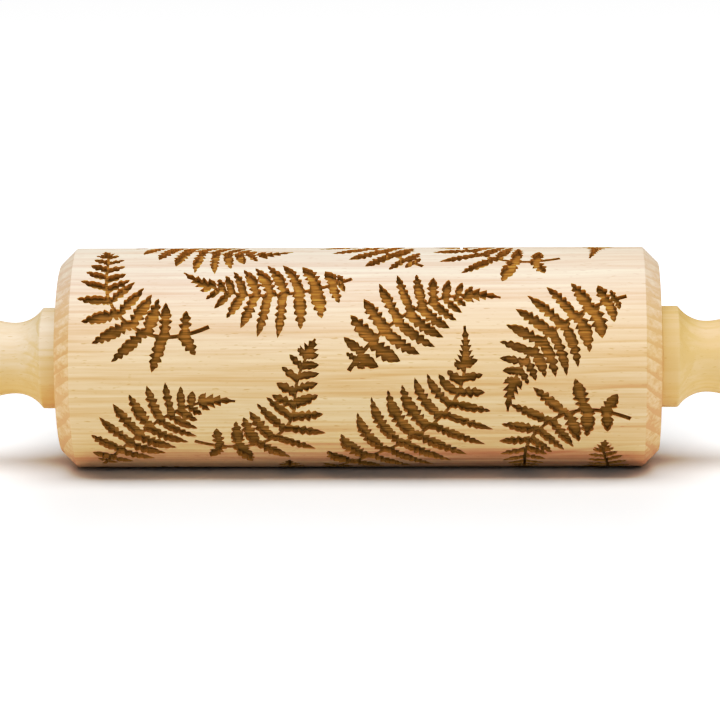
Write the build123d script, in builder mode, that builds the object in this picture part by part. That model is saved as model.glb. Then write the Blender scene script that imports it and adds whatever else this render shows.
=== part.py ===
from build123d import *
import os
from math import asin, degrees, sqrt

# Embossing rolling pin: a beech barrel that turns on a steel rod between two turned handles.
# The barrel's fern engraving, 1.6 mm deep, is left out of the solid. Millimetres. X runs along
# the pin, Z is up, and the origin is the middle of the barrel, on its axis.

# Driving dimensions -----------------------------------------------------------------------------
BARREL_RADIUS = 30.0
BARREL_LENGTH = 163.0
BARREL_CHAMFER = 4.5
OVERALL_LENGTH = 390.0

ROD_RADIUS = 4.0
ROD_IN_HANDLE = 46.0
RUNNING_CLEARANCE = 0.06

BUSH_RADIUS = 8.0
BUSH_LENGTH = 16.0
BUSH_FLANGE_RADIUS = 12.0
BUSH_FLANGE_THICKNESS = 2.0

WASHER_RADIUS = 10.0
WASHER_THICKNESS = 0.8
WASHER_RECESS = 0.8
COLLAR_GAP = 0.3

COLLAR_RADIUS = 13.9
COLLAR_WIDTH = 5.0
COVE_RADIUS = 9.5
NECK_RADIUS = 9.8
SHOULDER_RADIUS = 11.5
SHOULDER_WIDTH = 8.5
GRIP_RADIUS = 14.2
GRIP_SWELL = 34.0
NOSE_RADIUS = 11.2
NOSE_SLOPE = 0.12

ROD_CHAMFER = 0.8
GROOVE_COUNT = 4
GROOVE_START = 12.0
GROOVE_SPACING = 8.0
GROOVE_SECTION = 0.8
GROOVE_LIFT = 0.4
BUSH_LEAD_IN = 0.5
WASHER_CLEARANCE = 0.1
WASHER_EASING = 0.2
COLLAR_EASING = 0.6
DRILL_ALLOWANCE = 2.0

# Worked out from them ----------------------------------------------------------------------------
BARREL_END = BARREL_LENGTH / 2
BUSH_FACE = BARREL_END - WASHER_RECESS
HANDLE_START = BARREL_END + COLLAR_GAP
WASHER_START = HANDLE_START - WASHER_THICKNESS
HANDLE_END = OVERALL_LENGTH / 2
ROD_END = HANDLE_START + ROD_IN_HANDLE
SHAFT_BORE_RADIUS = ROD_RADIUS + 1.5
SIDES = (("left", -1), ("right", 1))

os.makedirs("parts", exist_ok=True)

# Roller barrel ------------------------------------------------------------------------------------
with BuildPart() as roller_barrel:
    Cylinder(BARREL_RADIUS, BARREL_LENGTH, rotation=(0, 90, 0))
    chamfer(roller_barrel.edges().filter_by(GeomType.CIRCLE), BARREL_CHAMFER)
    Cylinder(SHAFT_BORE_RADIUS, BARREL_LENGTH, rotation=(0, 90, 0), mode=Mode.SUBTRACT)
    for _, side in SIDES:
        with Locations(Plane(origin=(side * BARREL_END, 0, 0), z_dir=(side, 0, 0))):
            Hole(BUSH_RADIUS, WASHER_RECESS + BUSH_LENGTH)
            Hole(BUSH_FLANGE_RADIUS, WASHER_RECESS + BUSH_FLANGE_THICKNESS)
roller_barrel.part.label = "roller_barrel"
export_step(roller_barrel.part, "parts/roller_barrel.step")

# Steel rod ----------------------------------------------------------------------------------------
with BuildPart() as axle_rod:
    Cylinder(ROD_RADIUS, 2 * ROD_END, rotation=(0, 90, 0))
    chamfer(axle_rod.edges().filter_by(GeomType.CIRCLE), ROD_CHAMFER)
    # Shallow glue grooves, where each end sits in its handle.
    groove_places = []
    for _, side in SIDES:
        for groove in range(GROOVE_COUNT):
            place = side * (HANDLE_START + GROOVE_START + groove * GROOVE_SPACING)
            groove_places.append((place, ROD_RADIUS + GROOVE_LIFT))
    with BuildSketch(Plane.XY):
        with Locations(*groove_places):
            Circle(GROOVE_SECTION)
    revolve(axis=Axis.X, mode=Mode.SUBTRACT)
axle_rod.part.label = "axle_rod"
export_step(axle_rod.part, "parts/axle_rod.step")


def bearing(side):
    """A flanged bush, pressed into the barrel's end, with a rounded lead-in for the rod."""
    flange_start = BUSH_FACE - BUSH_FLANGE_THICKNESS
    bore = ROD_RADIUS + RUNNING_CLEARANCE
    inner_end = BUSH_FACE - BUSH_LENGTH
    with BuildPart() as bush:
        with BuildSketch(Plane.XY):
            with BuildLine():
                Polyline(
                    (side * inner_end, bore),
                    (side * BUSH_FACE, bore),
                    (side * BUSH_FACE, BUSH_FLANGE_RADIUS),
                    (side * flange_start, BUSH_FLANGE_RADIUS),
                    (side * flange_start, BUSH_RADIUS),
                    (side * inner_end, BUSH_RADIUS),
                    close=True,
                )
            make_face()
        revolve(axis=Axis.X)
        bore_edges = bush.edges().filter_by(GeomType.CIRCLE).sort_by(SortBy.RADIUS)[:2]
        chamfer(bore_edges, BUSH_LEAD_IN)
        inner_rim = bush.edges().filter_by(GeomType.CIRCLE).sort_by(lambda e: abs(e.center().X))[:2]
        chamfer(inner_rim.sort_by(SortBy.RADIUS)[-1], BUSH_LEAD_IN)
    return bush.part


def washer(side):
    """A thrust washer in the barrel's recess, between the bush's flange and the handle's collar."""
    middle = side * (WASHER_START + WASHER_THICKNESS / 2)
    with BuildPart() as ring:
        with Locations((middle, 0, 0)):
            Cylinder(WASHER_RADIUS, WASHER_THICKNESS, rotation=(0, 90, 0))
            Cylinder(
                ROD_RADIUS + WASHER_CLEARANCE, WASHER_THICKNESS, rotation=(0, 90, 0), mode=Mode.SUBTRACT
            )
        outer_rims = ring.edges().filter_by(GeomType.CIRCLE).sort_by(SortBy.RADIUS)[-2:]
        fillet(outer_rims, WASHER_EASING)
    return ring.part


def handle(side):
    """A turned grip: collar, cove, neck, swelling grip and rounded nose, bored for the rod."""
    collar_end = HANDLE_START + COLLAR_WIDTH
    neck = collar_end + sqrt(COVE_RADIUS**2 - (COVE_RADIUS - COLLAR_RADIUS + NECK_RADIUS) ** 2)
    cove_angle = degrees(asin((neck - collar_end) / COVE_RADIUS))
    nose_start = HANDLE_END - NOSE_RADIUS
    with BuildPart() as grip:
        with BuildSketch(Plane.XY):
            with BuildLine():
                Line((HANDLE_START, 0), (HANDLE_START, COLLAR_RADIUS))
                Line((HANDLE_START, COLLAR_RADIUS), (collar_end, COLLAR_RADIUS))
                cove = CenterArc((neck, NECK_RADIUS + COVE_RADIUS), COVE_RADIUS, 270 - cove_angle, cove_angle)
                swell = Spline(
                    cove @ 1,
                    (neck + SHOULDER_WIDTH, SHOULDER_RADIUS),
                    (neck + GRIP_SWELL, GRIP_RADIUS),
                    tangents=((1, 0), (1, 0)),
                )
                taper = Spline(
                    swell @ 1,
                    (nose_start, NOSE_RADIUS),
                    tangents=((1, 0), (1, -NOSE_SLOPE)),
                )
                nose = Spline(taper @ 1, (HANDLE_END, 0), tangents=((1, -NOSE_SLOPE), (0, -1)))
                Line(nose @ 1, (HANDLE_START, 0))
            make_face()
        revolve(axis=Axis.X)
        collar_rims = grip.edges().filter_by(GeomType.CIRCLE).filter_by(lambda e: e.radius == COLLAR_RADIUS)
        fillet(collar_rims.sort_by(Axis.X)[0], COLLAR_EASING)
        with Locations(Plane(origin=(HANDLE_START, 0, 0), z_dir=(-1, 0, 0))):
            Hole(ROD_RADIUS, ROD_IN_HANDLE + DRILL_ALLOWANCE)
        if side < 0:
            mirror(about=Plane.YZ, mode=Mode.REPLACE)
    return grip.part


for name, side in SIDES:
    for kind, make in (("bearing", bearing), ("washer", washer), ("handle", handle)):
        piece = make(side)
        piece.label = f"{name}_{kind}"
        export_step(piece, f"parts/{name}_{kind}.step")
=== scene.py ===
from math import asin, cos, pi, radians, sin, sqrt

import bmesh
import bpy
from mathutils import Matrix, Vector, noise
from mathutils.geometry import delaunay_2d_cdt


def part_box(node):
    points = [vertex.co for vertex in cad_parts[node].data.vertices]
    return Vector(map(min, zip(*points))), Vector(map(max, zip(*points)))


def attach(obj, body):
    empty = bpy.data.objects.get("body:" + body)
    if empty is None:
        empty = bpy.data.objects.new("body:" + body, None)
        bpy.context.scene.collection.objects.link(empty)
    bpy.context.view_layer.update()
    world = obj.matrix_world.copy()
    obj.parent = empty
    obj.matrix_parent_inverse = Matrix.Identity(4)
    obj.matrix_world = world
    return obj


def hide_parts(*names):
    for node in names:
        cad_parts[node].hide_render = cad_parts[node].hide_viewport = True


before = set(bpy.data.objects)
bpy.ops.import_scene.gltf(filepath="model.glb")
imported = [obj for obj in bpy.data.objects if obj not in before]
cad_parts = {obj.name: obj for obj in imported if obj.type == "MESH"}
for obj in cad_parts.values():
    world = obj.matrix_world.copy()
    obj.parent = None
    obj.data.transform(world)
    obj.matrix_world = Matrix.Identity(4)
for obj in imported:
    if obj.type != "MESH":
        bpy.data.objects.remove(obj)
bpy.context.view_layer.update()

# An engraved beech rolling pin. Blender's units are metres; the fern pattern and the turned
# outlines are written in millimetres, and MM turns them into metres.
MM = 0.001

# Sizes of the barrel, from the frame where it gives them ----------------------------------------
barrel_low, barrel_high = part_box("roller_barrel")
handle_low, handle_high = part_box("right_handle")
bush_low, bush_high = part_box("right_bearing")
RADIUS = barrel_high.z / MM
BARREL_END = barrel_high.x / MM
CHAMFER = 4.5
FLOOR_DEPTH = 1.6
BUSH_RADIUS = 8.0
BUSH_FLANGE_RADIUS = bush_high.z / MM
BUSH_FLANGE_THICKNESS = 2.0
BUSH_FACE = bush_high.x / MM
BUSH_END = bush_low.x / MM
SHAFT_BORE_RADIUS = 5.5
GIRTH = 2 * pi * RADIUS
ROUND_STEPS = 144
PATTERN_TURN = radians(10)

# Fern pattern -------------------------------------------------------------------------------------
# Each motif is one frond, laid flat. Places along its stem run from 0, the stalk's end, to 1, the
# tip. length is the stem's and stem its half width; turns is its heading against the stalk's, in
# degrees and equal steps. So many pairs of leaflets stand from the first place to the last, closer
# together towards the tip by crowd, and small is the place of a short extra pair. reach is their
# length at which place. lean and curl (degrees) and spread (half width, as a share of the room
# between two leaflets) each have a value for the right and one for the left of the stem. blade
# counts the teeth of the tip.
BROAD = dict(
    length=48.5, small=0.06, pairs=10, first=0.112, last=0.80, crowd=0.3, stem=0.6,
    turns=(0, -9, -17, -26, -39, -56, -73),
    reach=((0.06, 3.2), (0.09, 5.0), (0.14, 7.8), (0.24, 10.6), (0.42, 12.4), (0.52, 11.6),
           (0.60, 9.2), (0.69, 6.0), (0.75, 4.2), (0.80, 3.0), (0.9, 1.7), (1, 0.1)),
    lean=(((0, 94), (1, 50)), ((0, 96), (1, 56))), curl=(26, 10), spread=(0.44, 0.42), blade=4,
)
TALL = dict(
    length=71.0, small=0.05, pairs=12, first=0.09, last=0.84, crowd=0.3, stem=0.65,
    turns=(0, 10, 19, 14, 1, -30, -42),
    reach=((0.06, 3.0), (0.17, 10.0), (0.3, 15.0), (0.44, 17.5), (0.54, 16.5), (0.62, 13.5),
           (0.68, 10.5), (0.74, 7.3), (0.80, 5.0), (0.84, 3.4), (0.88, 2.1), (0.93, 1.4),
           (0.97, 0.8), (1, 0.1)),
    lean=(((0, 100), (1, 64)), ((0, 84), (1, 66))), curl=(38, 8), spread=(0.38, 0.36), blade=6,
)
HOOKED = dict(
    length=54.6, small=0, pairs=11, first=0.125, last=0.9, crowd=0.3, stem=0.6,
    turns=(0, -16, -48, -77, -111, -117, -95),
    reach=((0.12, 6.4), (0.19, 9.0), (0.28, 10.6), (0.36, 11.6), (0.46, 11.2), (0.56, 9.0),
           (0.66, 6.8), (0.74, 5.8), (0.82, 4.9), (0.87, 4.0), (0.9, 3.3), (0.94, 2.2),
           (0.97, 1.2), (1, 0.1)),
    lean=(((0.12, 108), (0.2, 90), (0.46, 84), (0.56, 68)),
          ((0.12, 112), (0.19, 86), (0.28, 66), (1, 66))),
    curl=(6, 4), spread=(0.36, 0.38), blade=3,
)
SWAYED = dict(HOOKED, turns=(0, -17, -49, -78, -114, -92, -86))

# Motif, stalk end along the barrel, stalk end around it (upwards from the line that
# PATTERN_TURN lifts above -Y), heading in degrees, mirror (1 or -1) and size.
FRONDS = (
    (HOOKED, -39.5, 8.3, 205, 1, 1.0),
    (BROAD, -1.5, 23.3, 207, 1, 1.0),
    (BROAD, -2.2, -3.7, 57, 1, 1.0),
    (BROAD, 72.0, 17.0, 195, -1, 1.0),
    (TALL, -10.0, -46.5, 54, -1, 1.0),
    (BROAD, -69.5, -38.5, 66, 1, 1.0),
    (SWAYED, -44.0, -25.4, -24, -1, 1.0),
    (HOOKED, 73.0, -17.7, 155, -1, 1.0),
    (HOOKED, 54.5, 32.5, 200, 1, 1.0),
    (BROAD, -61.0, 51.5, -48, -1, 1.0),
    (BROAD, 17.5, 28.5, 148, 1, 1.0),
    (HOOKED, 43.0, -58.5, -16, -1, 0.96),
    (TALL, 40.0, 85.0, -66, 1, 0.85),
    (BROAD, -70.0, 62.0, 58, 1, 0.95),
    (HOOKED, 5.0, 82.0, 215, 1, 1.0),
    (BROAD, 71.0, 74.5, 124, 1, 0.9),
    (BROAD, -31.0, -50.0, 200, 1, 0.9),
    (HOOKED, -42.0, -71.0, -14, -1, 1.0),
    (TALL, -13.5, -77.5, -12, 1, 1.0),
    (BROAD, -73.0, -70.0, -62, -1, 0.9),
)
STEM_STEPS = 96
STEM_CORNERS = 24
STEM_TAPER = 0.45
LEAFLET_SHAPE = (
    (0, 1.0), (0.12, 0.88), (0.38, 1.06), (0.6, 0.98), (0.76, 0.75), (0.88, 0.44), (1, 0.02),
)
LEAFLET_WIDEST = 0.22
LEAFLET_SPARE = 0.3
LEAN_PER_CURL = 0.35
LEFT_FOOT_AHEAD = 0.012
FOOT_UNEVEN = 0.004
LENGTH_UNEVEN = 0.06
WIDTH_UNEVEN = 0.12
FEWEST_TEETH = 3
TOOTH_SPACING = 1.7
TOOTH_PEAK = 0.7
TOOTH_DEPTH = 0.36
TOOTH_UNEVEN = 0.5
PEAK_UNEVEN = 0.12
TOOTH_SHIFT = 0.25
TEETH_START = 0.04
TEETH_END = 0.97

# Place within a tooth of the tip's blade, width there, and how far it points forwards.
TIP_NOTCH = (0.0, 0.45, 0.0)
TIP_PEAK = (0.55, 1.0, 0.5)
TIP_TEETH_END = 0.8
TIP_SHOULDER = 0.83
TIP_SHOULDER_HALF = 0.55


def blend(table, place):
    """The value at a place in a table of (place, value) pairs, in straight lines between them."""
    for (low, first), (high, second) in zip(table, table[1:]):
        if place <= high:
            return first + (second - first) * max(0.0, place - low) / (high - low)
    return table[-1][1]


def uneven(x, around, turn):
    """A number from -1 to 1 that looks random and is always the same at one place."""
    return sin(3.1 * x + 5.3 * around + 7.7 * turn)


def stem_line(motif, x, around, heading, mirror, size):
    """Points and headings (radians) along a frond's stem, on the unrolled barrel."""
    last_turn = len(motif["turns"]) - 1
    turns = [(i / last_turn, heading + mirror * turn) for i, turn in enumerate(motif["turns"])]
    step = motif["length"] * size / STEM_STEPS
    line = [(x, around, radians(turns[0][1]))]
    for i in range(STEM_STEPS):
        direction = radians(blend(turns, (i + 0.5) / STEM_STEPS))
        x += step * cos(direction)
        around += step * sin(direction)
        line.append((x, around, radians(blend(turns, (i + 1) / STEM_STEPS))))
    return line


def stem_point(line, place):
    """The stem's point and heading at a place from 0, the stalk's end, to 1, the tip."""
    i = min(int(place * STEM_STEPS), STEM_STEPS - 1)
    part = place * STEM_STEPS - i
    return tuple(a + (b - a) * part for a, b in zip(line[i], line[i + 1]))


def arc_point(start, curl, length, place):
    """The point and heading at a place along an arc, which turns by curl over its length."""
    x, around, heading = start
    half_turn = curl * place / 2
    chord = length * place * (sin(half_turn) / half_turn if half_turn else 1)
    direction = heading + half_turn
    return x + chord * cos(direction), around + chord * sin(direction), heading + 2 * half_turn


def beside(point, distance):
    """The place at a distance to the left of a point and heading."""
    x, around, heading = point
    return x - distance * sin(heading), around + distance * cos(heading)


def leaflet(foot, length, half_width, curl):
    """The outline and the midrib of one saw-toothed leaflet, from its foot to its pointed tip."""
    teeth = max(FEWEST_TEETH, round(length / TOOTH_SPACING))
    edges = []
    for side in (-1, 1):
        edge = [beside(foot, side * half_width * LEAFLET_SHAPE[0][1])]
        shift = TOOTH_SHIFT * uneven(foot[0], foot[1], side)
        for i in range(teeth):
            rough = uneven(foot[0], foot[1], i + 0.4 * side)
            deep = TOOTH_DEPTH * (1 + TOOTH_UNEVEN * rough)
            notch = (0.0, deep)
            flank = (0.5 * TOOTH_PEAK, 0.25 * deep)
            peak = (TOOTH_PEAK, -PEAK_UNEVEN * rough)
            for part, depth in (notch, flank, peak):
                place = (i + part + shift) / teeth
                if not TEETH_START < place < TEETH_END:
                    continue
                half = half_width * blend(LEAFLET_SHAPE, place) * (1 - depth)
                edge.append(beside(arc_point(foot, curl, length, place), side * half))
        edges.append(edge)
    tip = arc_point(foot, curl, length, 1.0)[:2]
    rib = [arc_point(foot, curl, length, (i + 0.5) / teeth)[:2] for i in range(teeth)]
    return edges[0] + [tip] + edges[1][::-1], rib


def tip_blade(line, motif, start, size):
    """The toothed blade at a frond's tip, where the leaflets run together."""
    teeth = motif["blade"]
    edges = []
    for side in (-1, 1):
        edge = []
        for i in range(teeth):
            for part, share, forwards in (TIP_NOTCH, TIP_PEAK):
                place = start + (1 - start) * TIP_TEETH_END * (i + part) / teeth
                half = share * blend(motif["reach"], place) * size
                x, around, heading = stem_point(line, place)
                ahead = forwards * half
                spine = (x + ahead * cos(heading), around + ahead * sin(heading), heading)
                edge.append(beside(spine, side * half))
        shoulder = stem_point(line, start + (1 - start) * TIP_SHOULDER)
        edge.append(beside(shoulder, side * TIP_SHOULDER_HALF * size))
        edges.append(edge)
    return edges[0] + [line[-1][:2]] + edges[1][::-1]


def frond_outlines(motif, x, around, heading, mirror, size):
    """Flat outlines of a frond's stem, leaflets and toothed tip, and points along their ribs."""
    line = stem_line(motif, x, around, heading, mirror, size)
    ribs = [corner[:2] for corner in line[::2]]
    stem = []
    for side in (-1, 1):
        edge = []
        for i in range(0, STEM_STEPS + 1, STEM_STEPS // STEM_CORNERS):
            half = side * motif["stem"] * size * (1 - STEM_TAPER * i / STEM_STEPS)
            edge.append(beside(line[i], half))
        stem += edge[::-side]
    outlines = [stem]

    last = motif["pairs"] - 1
    first_place, last_place = motif["first"], motif["last"]
    places = [motif["small"]] if motif["small"] else []
    for k in range(last + 1):
        part = k / last
        part += motif["crowd"] * part * (1 - part)
        places.append(first_place + (last_place - first_place) * part)
    for k, place in enumerate(places):
        before, after = max(k - 1, 0), min(k + 1, len(places) - 1)
        spacing = (places[after] - places[before]) / (after - before) * motif["length"] * size
        for side in (1, -1):
            rough = uneven(x, around, k + 0.3 * side)
            length = blend(motif["reach"], place) * size * (1 + LENGTH_UNEVEN * rough)
            left = int(side * mirror > 0)
            curl = motif["curl"][left]
            lean = blend(motif["lean"][left], place) + LEAN_PER_CURL * curl
            foot_place = place + LEFT_FOOT_AHEAD * left + FOOT_UNEVEN * rough
            foot_x, foot_around, foot_heading = stem_point(line, foot_place)
            widest = LEAFLET_WIDEST * length + LEAFLET_SPARE
            half = min(spacing * motif["spread"][left], widest) * (1 - WIDTH_UNEVEN * rough)
            foot = (foot_x, foot_around, foot_heading + side * radians(lean))
            outline, rib = leaflet(foot, length, half, -side * radians(curl))
            outlines.append(outline)
            ribs += rib
    outlines.append(tip_blade(line, motif, last_place, size))
    return outlines, ribs


# Barrel -------------------------------------------------------------------------------------------
LAND_END = BARREL_END - CHAMFER
RIM_RADIUS = RADIUS - CHAMFER
EASING = 0.5
FLOOR_RIPPLE = 0.12
RIPPLE_LENGTH = 2.5
RIPPLE_WIDTH = 0.9
# Mark for the top of a wall. The darkening of the walls' feet, partly scorch and partly painted
# shade, starts above this mark.
TOP_SCORCH_AND_SHADE = 0.4
GRID_ALONG = 52
MEETING_TOLERANCE = 1e-5
LAND_TOLERANCE = 1e-3
WELD_DISTANCE = 2e-6
SHORTEST_EDGE = 1e-5
WOOD, BURNT_FLOOR, BURNT_WALL = range(3)


def on_barrel(x, around, depth=0.0):
    """The 3-D place of a point of the unrolled pattern, in metres."""
    angle = PATTERN_TURN + around / RADIUS
    distance = (RADIUS - depth) * MM
    return Vector((x * MM, -distance * cos(angle), distance * sin(angle)))


def counter_clockwise(outline):
    """The outline, turned round if it runs clockwise."""
    area = sum(a[0] * b[1] - b[0] * a[1] for a, b in zip(outline, outline[1:] + outline[:1]))
    return outline if area > 0 else outline[::-1]


def unrolled_triangles():
    """Points and triangles of the flat pattern, and for each triangle whether it is engraved."""
    points = []
    edges = []
    seam = GIRTH / 2
    columns = [-LAND_END + 2 * LAND_END * i / GRID_ALONG for i in range(GRID_ALONG + 1)]
    rows = [-seam + GIRTH * k / ROUND_STEPS for k in range(ROUND_STEPS + 1)]
    for row, around in enumerate(rows):
        for column, x in enumerate(columns):
            points.append(Vector((x, around)))
            number = len(points) - 1
            if column and row in (0, ROUND_STEPS):
                edges.append((number - 1, number))
            if row and column in (0, GRID_ALONG):
                edges.append((number - GRID_ALONG - 1, number))
    faces = []
    for frond in FRONDS:
        outlines, ribs = frond_outlines(*frond)
        for x, around in ribs:
            points.append(Vector((x, (around + seam) % GIRTH - seam)))
        for outline in outlines:
            outline = counter_clockwise(outline)
            for lap in (-GIRTH, 0, GIRTH):
                arounds = [around + lap for _, around in outline]
                if min(arounds) > seam or max(arounds) < -seam:
                    continue
                start = len(points)
                points.extend(Vector((x, around)) for (x, _), around in zip(outline, arounds))
                faces.append(list(range(start, len(points))))
    result = delaunay_2d_cdt(points, edges, faces, 0, MEETING_TOLERANCE)
    flat, _, triangles, _, _, sources = result
    kept = []
    engraved = []
    for triangle, source in zip(triangles, sources):
        middle = sum(flat[i].y for i in triangle) / len(triangle)
        reach = max(abs(flat[i].x) for i in triangle)
        if abs(middle) < seam and reach < LAND_END + LAND_TOLERANCE:
            kept.append(tuple(triangle))
            engraved.append(bool(source))
    return flat, kept, engraved


def chamfer_outline():
    """From the land's end over the chamfer, the end face and the bush's seat into the bore.

    The chamfer's two edges are eased by sanding, so each has two corners with a slight turn.
    """
    return (
        (LAND_END + 0.3 * EASING, RADIUS - 0.05 * EASING),
        (LAND_END + 0.8 * EASING, RADIUS - 0.5 * EASING),
        (BARREL_END - 0.5 * EASING, RIM_RADIUS + 0.8 * EASING),
        (BARREL_END - 0.05 * EASING, RIM_RADIUS + 0.3 * EASING),
        (BARREL_END, RIM_RADIUS - 0.3 * EASING),
        (BARREL_END, 0.5 * (RIM_RADIUS + BUSH_FLANGE_RADIUS)),
        (BARREL_END, BUSH_FLANGE_RADIUS),
        (BUSH_FACE - BUSH_FLANGE_THICKNESS, BUSH_FLANGE_RADIUS),
        (BUSH_FACE - BUSH_FLANGE_THICKNESS, BUSH_RADIUS),
        (BUSH_END, BUSH_RADIUS),
        (BUSH_END, SHAFT_BORE_RADIUS),
        (0, SHAFT_BORE_RADIUS),
    )


def make_barrel():
    """The engraved barrel as one closed mesh: wood, burnt floors and burnt walls."""
    flat, triangles, engraved = unrolled_triangles()
    form = bmesh.new()
    scorch_and_shade = form.verts.layers.float.new("scorch_and_shade")
    tops = {}
    floors = {}

    def top(i):
        if i not in tops:
            tops[i] = form.verts.new(on_barrel(*flat[i]))
        return tops[i]

    def floor(i):
        if i not in floors:
            x, y, z = on_barrel(*flat[i]) / MM
            spot = Vector((x / RIPPLE_LENGTH, y / RIPPLE_WIDTH, z / RIPPLE_WIDTH))
            ripple = FLOOR_RIPPLE * noise.noise(spot)
            floors[i] = form.verts.new(on_barrel(*flat[i], FLOOR_DEPTH + ripple))
        return floors[i]

    sides = {}
    for triangle, cut in zip(triangles, engraved):
        corner = floor if cut else top
        face = form.faces.new([corner(i) for i in triangle])
        face.material_index = BURNT_FLOOR if cut else WOOD
        for a, b in zip(triangle, triangle[1:] + triangle[:1]):
            sides.setdefault((min(a, b), max(a, b)), []).append((a, b, cut))
    for meeting in sides.values():
        if len(meeting) == 2 and meeting[0][2] != meeting[1][2]:
            a, b, _ = meeting[0] if meeting[0][2] else meeting[1]
            wall = form.faces.new([floor(b), floor(a), top(a), top(b)])
            wall.material_index = BURNT_WALL
            # Each wall's foot is marked fully dark and its top a little. This darkening is partly
            # the scorch of the burning and partly painted shade in the corners and narrow tips.
            for corner in (a, b):
                floor(corner)[scorch_and_shade] = 1.0
                top(corner)[scorch_and_shade] = TOP_SCORCH_AND_SHADE
    for side in (-1, 1):
        rings = []
        for x, radius in ((LAND_END, RADIUS), *chamfer_outline()):
            ring = []
            for k in range(ROUND_STEPS):
                around = -GIRTH / 2 + GIRTH * k / ROUND_STEPS
                ring.append(form.verts.new(on_barrel(side * x, around, RADIUS - radius)))
            rings.append(ring)
        for inner, outer in zip(rings, rings[1:]):
            for k in range(ROUND_STEPS):
                after = (k + 1) % ROUND_STEPS
                corners = [inner[k], outer[k], outer[after], inner[after]]
                form.faces.new(corners if side < 0 else corners[::-1])
    bmesh.ops.remove_doubles(form, verts=form.verts, dist=WELD_DISTANCE)
    bmesh.ops.dissolve_degenerate(form, edges=form.edges, dist=SHORTEST_EDGE)
    bmesh.ops.recalc_face_normals(form, faces=form.faces)
    return finished(form, "engraved_barrel", sharp=radians(24))


def finished(form, name, sharp):
    """A bmesh as an object in the scene, smooth except over edges sharper than the angle."""
    mesh = bpy.data.meshes.new(name)
    form.to_mesh(mesh)
    form.free()
    mesh.shade_smooth()
    mesh.set_sharp_from_angle(angle=sharp)
    piece = bpy.data.objects.new(name, mesh)
    bpy.context.scene.collection.objects.link(piece)
    return piece


# Materials ----------------------------------------------------------------------------------------
class Recipe:
    """A material and its node tree, with short calls to add nodes to it."""

    def __init__(self, name):
        self.material = bpy.data.materials.new(name)
        self.material.use_nodes = True
        self.tree = self.material.node_tree
        self.shader = self.tree.nodes["Principled BSDF"]

    def plug(self, socket, value):
        if isinstance(value, bpy.types.NodeSocket):
            self.tree.links.new(value, socket)
        else:
            socket.default_value = value

    def add(self, kind, inputs, output=0, **settings):
        node = self.tree.nodes.new(kind)
        for key, value in settings.items():
            setattr(node, key, value)
        for key, value in inputs.items():
            self.plug(node.inputs[key], value)
        return node.outputs[output]

    def place(self):
        return self.add("ShaderNodeTexCoord", {}, output="Object")

    def noise(self, scale, detail=3.0, roughness=0.5):
        vector = self.add("ShaderNodeMapping", {"Vector": self.place(), "Scale": scale})
        inputs = {"Vector": vector, "Scale": 1.0, "Detail": detail, "Roughness": roughness}
        return self.add("ShaderNodeTexNoise", inputs)

    def math(self, operation, first, second=0.0):
        return self.add("ShaderNodeMath", {0: first, 1: second}, operation=operation)

    def ramp(self, value, *stops):
        node = self.tree.nodes.new("ShaderNodeValToRGB")
        self.plug(node.inputs["Fac"], value)
        elements = node.color_ramp.elements
        while len(elements) < len(stops):
            elements.new(1.0)
        for element, (position, level) in zip(elements, stops):
            element.position = position
            element.color = (level, level, level, 1)
        return node.outputs["Color"]

    def mix(self, factor, first, second):
        node = self.tree.nodes.new("ShaderNodeMix")
        node.data_type = "RGBA"
        self.plug(node.inputs[0], factor)
        self.plug(node.inputs[6], first)
        self.plug(node.inputs[7], second)
        return node.outputs[2]

    def bump(self, height, strength, distance, normal=None):
        inputs = {"Height": height, "Strength": strength, "Distance": distance}
        if normal:
            inputs["Normal"] = normal
        return self.add("ShaderNodeBump", inputs)

    def finish(self, **inputs):
        for key, value in inputs.items():
            self.plug(self.shader.inputs[key.replace("_", " ")], value)
        return self.material


# Towards its right end the barrel's growth rings swing outwards and show more.
FLARE_START = 46.0
FLARE_END = 76.0
FLARE_SWING = 0.0009
FLARE_STRENGTH = 0.35
RING_DRIFT = 0.006
RING_DEPTH = 0.5
STREAK_DEPTH = 0.6
FIBRE_DEPTH = 0.4
END_GRAIN_RINGS = 1.6
END_GRAIN_DEPTH = 0.22
TINT_DEPTH = 0.3
FLECK_DEPTH = 0.5


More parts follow.
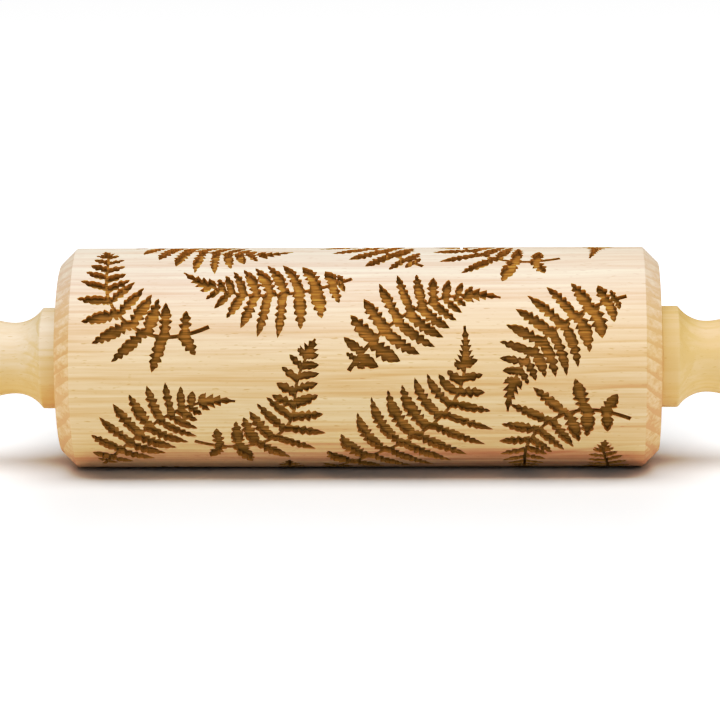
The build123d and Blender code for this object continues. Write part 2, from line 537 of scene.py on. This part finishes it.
def beech(name, radius, near, far, deep, pith, ring_width):
    """Solid beech: growth rings round a far pith, fine fibres, short ray flecks and slow tints.

    The grain runs along the pin, so the rings show as lines there and as bands on the ends. near
    and far are the pale wood's colours on the side next to the pith and on the side away from it,
    and deep is the dark wood's. pith has its y and z, in metres, and its rise per metre of x.
    """
    wood = Recipe(name)
    drift = wood.noise((9.0, 32.0, 32.0), detail=2.0)
    pith_y, pith_z, lean = pith
    x, y, z = (wood.add("ShaderNodeSeparateXYZ", {0: wood.place()}, output=axis) for axis in "XYZ")
    from_y = wood.math("SUBTRACT", y, pith_y)
    from_z = wood.math("SUBTRACT", wood.math("SUBTRACT", z, pith_z), wood.math("MULTIPLY", x, lean))
    squares = wood.math("ADD", wood.math("POWER", from_y, 2.0), wood.math("POWER", from_z, 2.0))
    wander = wood.math("MULTIPLY", drift, RING_DRIFT)
    distance = wood.math("ADD", wood.math("SQRT", squares), wander)
    inputs = {"Value": x, "From Min": FLARE_START * MM, "From Max": FLARE_END * MM}
    flare = wood.add("ShaderNodeMapRange", inputs, interpolation_type="SMOOTHSTEP")
    distance = wood.math("ADD", distance, wood.math("MULTIPLY", flare, FLARE_SWING))
    to_axis = sqrt(pith_y**2 + pith_z**2)
    limits = {"Value": distance, "From Min": to_axis - radius, "From Max": to_axis + 0.5 * radius}
    depth = wood.add("ShaderNodeMapRange", limits)
    pale = wood.mix(depth, (*near, 1), (*far, 1))
    halfway = [0.5 * (a + b) for a, b in zip(near, deep)]
    dark = wood.mix(depth, (*halfway, 1), (*deep, 1))

    facing = wood.add("ShaderNodeTexCoord", {}, output="Normal")
    end_on = wood.math("ABSOLUTE", wood.add("ShaderNodeSeparateXYZ", {0: facing}, output="X"))
    end_grain = wood.ramp(end_on, (0.25, 0.0), (0.75, 1.0))
    ring = wood.math("FRACT", wood.math("DIVIDE", distance, ring_width))
    band = wood.ramp(ring, (0.0, 0.05), (0.55, 0.18), (0.82, 0.8), (0.9, 1.0), (0.98, 0.05))
    fading = wood.noise((14.0, 70.0, 70.0), detail=2.0)
    fading = wood.ramp(fading, (0.35, 0.25), (0.7, 1.0))
    along = wood.math("ADD", fading, wood.math("MULTIPLY", flare, FLARE_STRENGTH))
    strength = wood.mix(end_grain, along, (END_GRAIN_RINGS, END_GRAIN_RINGS, END_GRAIN_RINGS, 1))
    rings = wood.math("MULTIPLY", wood.math("MULTIPLY", band, strength), RING_DEPTH)
    fibres = wood.noise((40.0, 1200.0, 1200.0), detail=3.0, roughness=0.6)
    streaks = wood.noise((6.0, 300.0, 300.0), detail=3.0, roughness=0.6)
    tone = rings
    for mask, share in (
        (wood.ramp(streaks, (0.4, 0.0), (0.66, 1.0)), STREAK_DEPTH),
        (wood.ramp(fibres, (0.35, 0.0), (0.7, 1.0)), FIBRE_DEPTH),
        (end_grain, END_GRAIN_DEPTH),
    ):
        tone = wood.math("ADD", tone, wood.math("MULTIPLY", mask, share))
    colour = wood.mix(tone, pale, dark)
    tint = wood.noise((7.0, 24.0, 24.0), detail=1.0)
    warm = (far[0], far[1] * 0.86, far[2] * 0.7, 1)
    colour = wood.mix(wood.ramp(tint, (0.35, 0.0), (0.7, TINT_DEPTH)), colour, warm)
    rays = wood.noise((420.0, 2600.0, 2600.0), detail=1.0, roughness=0.4)
    brown = (deep[0] * 0.78, deep[1] * 0.62, deep[2] * 0.45, 1)
    colour = wood.mix(wood.ramp(rays, (0.68, 0.0), (0.76, FLECK_DEPTH)), colour, brown)
    grain = wood.bump(fibres, 0.25, 0.00012)
    surface = wood.bump(streaks, 0.15, 0.0003, normal=grain)
    roughness = wood.add("ShaderNodeMapRange", {"Value": fibres, "To Min": 0.5, "To Max": 0.66})
    return wood.finish(Base_Color=colour, Roughness=roughness, Normal=surface)


def burnt(name, light, dark, char_and_shade, soot_and_shade_depth, ridge):
    """Engraved wood: lines left by the passes along the pin, and darker towards the foot of each
    wall, partly from the scorch of the burning and partly from painted shade in the corners and
    narrow tips.
    """
    scorched = Recipe(name)
    passes = scorched.noise((85.0, 1900.0, 1900.0), detail=2.0, roughness=0.6)
    patches = scorched.noise((150.0, 420.0, 420.0), detail=2.0)
    lines = scorched.ramp(passes, (0.36, 0.0), (0.64, 1.0))
    colour = scorched.mix(lines, (*light, 1), (*dark, 1))
    colour = scorched.mix(scorched.ramp(patches, (0.35, 0.0), (0.7, 0.45)), colour, (*dark, 1))
    # Painted shade together with real scorch: darker towards the foot of each wall, and so darkest
    # in narrow tips.
    edge = scorched.add("ShaderNodeAttribute", {}, output="Fac", attribute_name="scorch_and_shade")
    charred_and_shaded = scorched.ramp(edge, (TOP_SCORCH_AND_SHADE, 0.0), (1.0, soot_and_shade_depth))
    colour = scorched.mix(charred_and_shaded, colour, (*char_and_shade, 1))
    ridges = scorched.bump(passes, 0.5, ridge)
    scorched.finish(Base_Color=colour, Normal=ridges)
    return scorched.finish(Roughness=0.85, Specular_IOR_Level=0.15)


def drawn_metal(name, colour, grain_scale):
    """Bright drawn or turned steel, with fine marks and slight smudges."""
    metal = Recipe(name)
    marks = metal.noise(grain_scale, detail=3.0)
    smudges = metal.noise((60.0, 60.0, 60.0), detail=2.0)
    shade = metal.mix(marks, (*colour, 1), (*(0.8 * c for c in colour), 1))
    roughness = metal.math("ADD", metal.math("MULTIPLY", smudges, 0.2), 0.25)
    texture = metal.bump(marks, 0.2, 0.00002)
    return metal.finish(Base_Color=shade, Metallic=1.0, Roughness=roughness, Normal=texture)


def moulded_plastic(name, colour):
    """Matt moulded plastic, with a faint cloudiness and a fine texture."""
    plastic = Recipe(name)
    cloud = plastic.noise((120.0, 120.0, 120.0), detail=2.0)
    stipple = plastic.noise((2500.0, 2500.0, 2500.0), detail=1.0)
    shade = plastic.mix(cloud, (*colour, 1), (*(0.88 * c for c in colour), 1))
    texture = plastic.bump(stipple, 0.15, 0.00003)
    return plastic.finish(Base_Color=shade, Roughness=0.5, Normal=texture)


# Handles ------------------------------------------------------------------------------------------
COLLAR_RADIUS = 13.9
COLLAR_WIDTH = 5.0
COVE_RADIUS = 9.5
NECK_RADIUS = 9.8
SHOULDER_RADIUS = 11.5
SHOULDER_WIDTH = 8.5
GRIP_RADIUS = 14.2
GRIP_SWELL = 34.0
NOSE_RADIUS = 11.2
NOSE_SLOPE = 0.12
COLLAR_EASING = 0.6
ROD_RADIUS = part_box("axle_rod")[1].z / MM
HANDLE_START = handle_low.x / MM
HANDLE_END = handle_high.x / MM
HOLE_DEPTH = 48.0
SHOULDER_SLOPE = 0.24
WEAR = 0.05
WEAR_LENGTH = 14.0
WEAR_TURN = 1.6
HANDLE_ROUND_STEPS = 160
EASING_STEPS = 4
COVE_STEPS = 24
SHOULDER_STEPS = 14
SWELL_STEPS = 26
TAPER_STEPS = 36
NOSE_STEPS = 20


def curve(start, end, start_slope, end_slope, steps):
    """Points of a cubic from start to end with the slopes given there, without its first point."""
    (x0, y0), (x1, y1) = start, end
    run = x1 - x0
    points = []
    for i in range(1, steps + 1):
        t = i / steps
        rise = (2 * t**3 - 3 * t**2 + 1) * y0 + (3 * t**2 - 2 * t**3) * y1
        rise += (t**3 - 2 * t**2 + t) * run * start_slope + (t**3 - t**2) * run * end_slope
        points.append((x0 + run * t, rise))
    return points


def handle_outline():
    """Collar, cove, neck, swelling grip and rounded nose, from the rod's hole out to the tip."""
    collar_end = HANDLE_START + COLLAR_WIDTH
    neck = collar_end + sqrt(COVE_RADIUS**2 - (COVE_RADIUS - COLLAR_RADIUS + NECK_RADIUS) ** 2)
    cove_angle = asin((neck - collar_end) / COVE_RADIUS)
    shoulder = (neck + SHOULDER_WIDTH, SHOULDER_RADIUS)
    swell = (neck + GRIP_SWELL, GRIP_RADIUS)
    nose_start = HANDLE_END - NOSE_RADIUS
    points = [(HANDLE_START + HOLE_DEPTH, ROD_RADIUS), (HANDLE_START, ROD_RADIUS)]
    points += [(HANDLE_START, COLLAR_RADIUS * part) for part in (0.5, 0.8, 0.94)]
    for i in range(EASING_STEPS + 1):
        turn = pi / 2 * i / EASING_STEPS
        points.append((
            HANDLE_START + COLLAR_EASING * (1 - sin(pi / 2 - turn)),
            COLLAR_RADIUS - COLLAR_EASING * (1 - sin(turn)),
        ))
    for part in (0.3, 0.5, 0.7, 0.86):
        points.append((HANDLE_START + COLLAR_WIDTH * part, COLLAR_RADIUS))
    # The collar's outer edge is broken by a light touch of sandpaper.
    points.append((collar_end - 0.14, COLLAR_RADIUS - 0.01))
    points.append((collar_end - 0.03, COLLAR_RADIUS - 0.07))
    for i in range(1, COVE_STEPS + 1):
        turn = cove_angle * (1 - i / COVE_STEPS)
        points.append((neck - COVE_RADIUS * sin(turn), NECK_RADIUS + COVE_RADIUS * (1 - cos(turn))))
    points += curve(points[-1], shoulder, 0.0, SHOULDER_SLOPE, SHOULDER_STEPS)
    points += curve(shoulder, swell, SHOULDER_SLOPE, 0.0, SWELL_STEPS)
    points += curve(swell, (nose_start, NOSE_RADIUS), 0.0, -NOSE_SLOPE, TAPER_STEPS)
    for i in range(1, NOSE_STEPS + 1):
        turn = pi / 2 * i / NOSE_STEPS
        drop = NOSE_RADIUS * (1 - cos(turn)) + NOSE_SLOPE * NOSE_RADIUS * sin(turn) * cos(turn)
        points.append((nose_start + NOSE_RADIUS * sin(turn), max(0.0, NOSE_RADIUS - drop)))
    return points


def make_handle(name, side):
    """A turned handle, with the slight unevenness of wood sanded on the lathe."""
    form = bmesh.new()
    rings = []
    for x, radius in handle_outline():
        if radius < 1e-6:
            rings.append([form.verts.new((side * x * MM, 0, 0))])
            continue
        ring = []
        for k in range(HANDLE_ROUND_STEPS):
            angle = 2 * pi * k / HANDLE_ROUND_STEPS
            spot = Vector((side * x / WEAR_LENGTH, WEAR_TURN * cos(angle), WEAR_TURN * sin(angle)))
            worn = radius - WEAR * (1 + noise.noise(spot))
            corner = (side * x * MM, worn * MM * cos(angle), worn * MM * sin(angle))
            ring.append(form.verts.new(corner))
        rings.append(ring)
    for inner, outer in zip(rings, rings[1:]):
        for k in range(HANDLE_ROUND_STEPS):
            after = (k + 1) % HANDLE_ROUND_STEPS
            corners = [inner[k], inner[after]]
            corners += [outer[0]] if len(outer) == 1 else [outer[after], outer[k]]
            form.faces.new(corners if side > 0 else corners[::-1])
    form.faces.new(rings[0] if side > 0 else rings[0][::-1])
    bmesh.ops.recalc_face_normals(form, faces=form.faces)
    return finished(form, name, sharp=radians(40))


# The pin ------------------------------------------------------------------------------------------
# Colours of the pale wood next to the pith and away from it, and of the dark wood. The pith lies
# above and behind the barrel. So the pale, cream near colour falls on the top as a painted
# highlight over the wood's own tone, and the darker, more orange far colour falls on the front and
# bottom as painted shade over it.
BARREL_NEAR_WOOD_AND_HIGHLIGHT = (0.76, 0.75, 0.64)
BARREL_FAR_WOOD_AND_SHADE = (0.79, 0.592, 0.345)
BARREL_DEEP = (0.56, 0.275, 0.135)
# The colour that the walls' feet darken to: soot, and painted shade.
SOOT_AND_SHADE_COLOUR = (0.085, 0.028, 0.0006)

barrel = make_barrel()
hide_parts("roller_barrel")
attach(barrel, "barrel")
for material in (
    beech(
        "barrel_beech", radius=0.028, near=BARREL_NEAR_WOOD_AND_HIGHLIGHT, far=BARREL_FAR_WOOD_AND_SHADE, deep=BARREL_DEEP,
        # The pith above the barrel puts the painted highlight of the near colour on its top, and
        # the painted shade of the far colour on its front and bottom.
        pith=(0.045, 0.1, 0.01), ring_width=0.0033,
    ),
    burnt(
        "engraved_floor", light=(0.46, 0.265, 0.06), dark=(0.19, 0.095, 0.009),
        char_and_shade=SOOT_AND_SHADE_COLOUR, soot_and_shade_depth=0.6, ridge=0.00018,
    ),
    burnt(
        "engraved_wall", light=(0.72, 0.40, 0.09), dark=(0.42, 0.19, 0.02),
        char_and_shade=SOOT_AND_SHADE_COLOUR, soot_and_shade_depth=0.35, ridge=0.0001,
    ),
):
    barrel.data.materials.append(material)

left_beech = beech(
    "left_handle_beech", radius=0.013, near=(0.76, 0.63, 0.44), far=(0.64, 0.41, 0.18),
    deep=(0.58, 0.33, 0.12), pith=(-0.03, 0.05, 0.02), ring_width=0.0026,
)
right_beech = beech(
    "right_handle_beech", radius=0.013, near=(0.70, 0.51, 0.285), far=(0.70, 0.47, 0.24),
    deep=(0.60, 0.37, 0.15), pith=(-0.06, 0.004, 0.03), ring_width=0.003,
)
for name, side, wood in (("left", -1, left_beech), ("right", 1, right_beech)):
    handle = make_handle(f"turned_{name}_handle", side)
    handle.data.materials.append(wood)
    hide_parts(f"{name}_handle")
    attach(handle, "handles")

rod_steel = drawn_metal("rod_steel", (0.62, 0.62, 0.63), (40.0, 3000.0, 3000.0))
washer_steel = drawn_metal("washer_steel", (0.58, 0.58, 0.6), (900.0, 900.0, 900.0))
bush_plastic = moulded_plastic("bush_plastic", (0.86, 0.84, 0.78))
for node, material in (
    ("axle_rod", rod_steel),
    ("left_washer", washer_steel),
    ("right_washer", washer_steel),
    ("left_bearing", bush_plastic),
    ("right_bearing", bush_plastic),
):
    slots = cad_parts[node].data.materials
    slots.clear()
    slots.append(material)

# Stage, light and camera --------------------------------------------------------------------------
FLOOR_SIZE = 6.0
SKY_LOW = 0.05
SKY_HIGH = 0.4
GLOW = 0.95
GLOW_START = 0.04
GLOW_END = 0.25
GLOW_INSET = 0.067
GLOW_STRETCH = 4.0
WHITE_LEVEL = 1.3
RESPONSE = ((0.14, 0.12), (0.385, 0.475), (0.77, 0.83))
floor_z = barrel_low.z


def make_stage():
    """A plain white table under the pin, which glows away from the pin like a lit backdrop: painted
    light, which also lightens the handles' shadows.
    """
    form = bmesh.new()
    bmesh.ops.create_grid(form, x_segments=1, y_segments=1, size=FLOOR_SIZE / 2)
    bmesh.ops.translate(form, verts=form.verts, vec=(0, 0, floor_z))
    table = finished(form, "white_table", sharp=pi)
    paper = Recipe("white_table")
    x, y = (paper.add("ShaderNodeSeparateXYZ", {0: paper.place()}, output=axis) for axis in "XY")
    # Painted light: past the barrel's ends the glow rises sooner along the pin, so it lightens the
    # handles' shadows on the table.
    from_inset = paper.math("SUBTRACT", paper.math("ABSOLUTE", x), GLOW_INSET)
    past_end = paper.math("MAXIMUM", from_inset, 0.0)
    along = paper.math("POWER", paper.math("MULTIPLY", past_end, GLOW_STRETCH), 2.0)
    distance = paper.math("SQRT", paper.math("ADD", along, paper.math("POWER", y, 2.0)))
    inputs = {"Value": distance, "From Min": GLOW_START, "From Max": GLOW_END, "To Max": GLOW}
    glow = paper.add("ShaderNodeMapRange", inputs, interpolation_type="SMOOTHSTEP")
    paper.finish(Base_Color=(0.82, 0.82, 0.82, 1), Roughness=0.9)
    paper.finish(Emission_Color=(1, 1, 1, 1), Emission_Strength=glow)
    table.data.materials.append(paper.material)


def add_light(name, place, size, power):
    """A soft box: an area light at a place, facing the pin's middle."""
    lamp = bpy.data.lights.new(name, "AREA")
    lamp.shape = "RECTANGLE"
    lamp.size, lamp.size_y = size
    lamp.energy = power
    lamp_object = bpy.data.objects.new(name, lamp)
    lamp_object.location = place
    lamp_object.rotation_euler = (-Vector(place)).to_track_quat("-Z", "Y").to_euler()
    bpy.context.scene.collection.objects.link(lamp_object)


make_stage()
add_light("overhead_box", place=(0, -0.2, 0.9), size=(1.3, 0.6), power=13.4)
add_light("front_key", place=(0.05, -1.2, 0.5), size=(0.6, 0.4), power=2.9)


def set_response():
    """A camera's response: deeper low tones, and highlights that roll off on their way to white."""
    view = bpy.context.scene.view_settings
    view.view_transform = "Standard"
    view.use_curve_mapping = True
    response = view.curve_mapping
    response.white_level = (WHITE_LEVEL, WHITE_LEVEL, WHITE_LEVEL)
    for light, shown in RESPONSE:
        response.curves[3].points.new(light, shown)
    response.update()


set_response()


def make_sky():
    """Studio light from all round, brightest overhead, as under a large soft box."""
    world = bpy.data.worlds.new("studio")
    world.use_nodes = True
    tree = world.node_tree
    direction = tree.nodes.new("ShaderNodeTexCoord").outputs["Generated"]
    height = tree.nodes.new("ShaderNodeSeparateXYZ")
    tree.links.new(direction, height.inputs[0])
    overhead = tree.nodes.new("ShaderNodeMapRange")
    overhead.interpolation_type = "SMOOTHSTEP"
    overhead.inputs["To Min"].default_value = SKY_LOW
    overhead.inputs["To Max"].default_value = SKY_HIGH
    tree.links.new(height.outputs["Z"], overhead.inputs["Value"])
    tree.nodes["Background"].inputs["Color"].default_value = (1, 1, 1, 1)
    tree.links.new(overhead.outputs["Result"], tree.nodes["Background"].inputs["Strength"])
    bpy.context.scene.world = world


make_sky()

# The camera looks slightly down at the pin, from a little right of its middle.
CAMERA_DISTANCE = 1.094
CAMERA_AZIMUTH = radians(1.6)
CAMERA_ELEVATION = radians(10)
CAMERA_ROLL = radians(-0.43)
CAMERA_LENS = 199.7
CAMERA_AIM = Vector((0, 0, -0.0008))

camera_data = bpy.data.cameras.new("camera")
camera_data.lens = CAMERA_LENS
camera_data.sensor_width = 36
camera = bpy.data.objects.new("camera", camera_data)
back = Vector((
    sin(CAMERA_AZIMUTH) * cos(CAMERA_ELEVATION),
    -cos(CAMERA_AZIMUTH) * cos(CAMERA_ELEVATION),
    sin(CAMERA_ELEVATION),
))
camera.location = CAMERA_AIM + CAMERA_DISTANCE * back
view = (-back).to_track_quat("-Z", "Y").to_matrix()
camera.rotation_euler = (view @ Matrix.Rotation(CAMERA_ROLL, 3, "Z")).to_euler()
bpy.context.scene.collection.objects.link(camera)
bpy.context.scene.camera = camera
